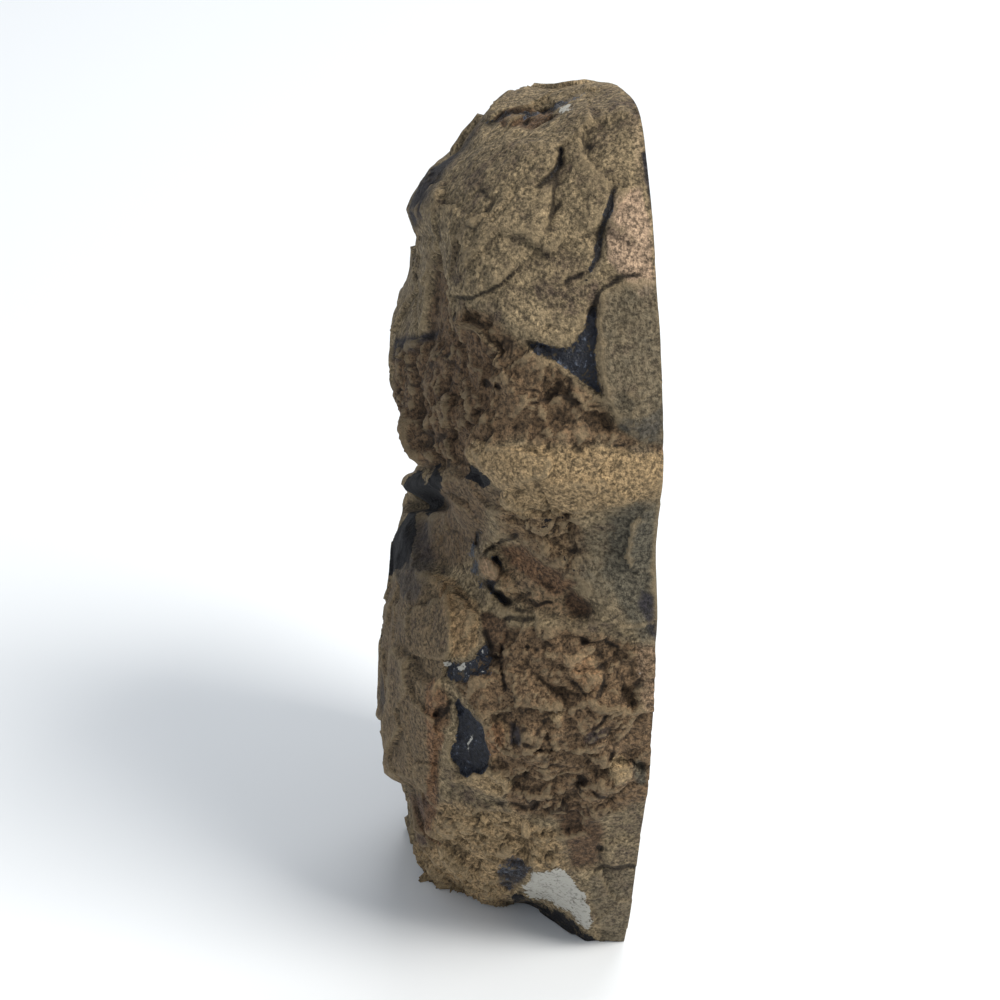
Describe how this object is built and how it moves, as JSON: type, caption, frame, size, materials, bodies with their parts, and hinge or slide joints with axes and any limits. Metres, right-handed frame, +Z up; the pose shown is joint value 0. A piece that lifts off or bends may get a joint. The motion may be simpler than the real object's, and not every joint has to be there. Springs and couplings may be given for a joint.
{
  "type": "polished agate half nodule",
  "caption": "Half of a sawn agate nodule that stands on its foot: one flat polished face, the rest natural rough rind.",
  "frame": {"origin": "on the ground, below the middle of the stone's box", "axes": "+Z up the stone's length, +X out of its sawn and polished face, -Y towards the side that the picture shows"},
  "size_m": [0.0277, 0.0638, 0.1026],
  "materials": {
    "agate": "weathered brown rind with crumbly ledges and small glassy pockets; the sawn face is polished, banded agate"
  },
  "bodies": {
    "root": {"agate": "agate"}
  },
  "joints": []
}
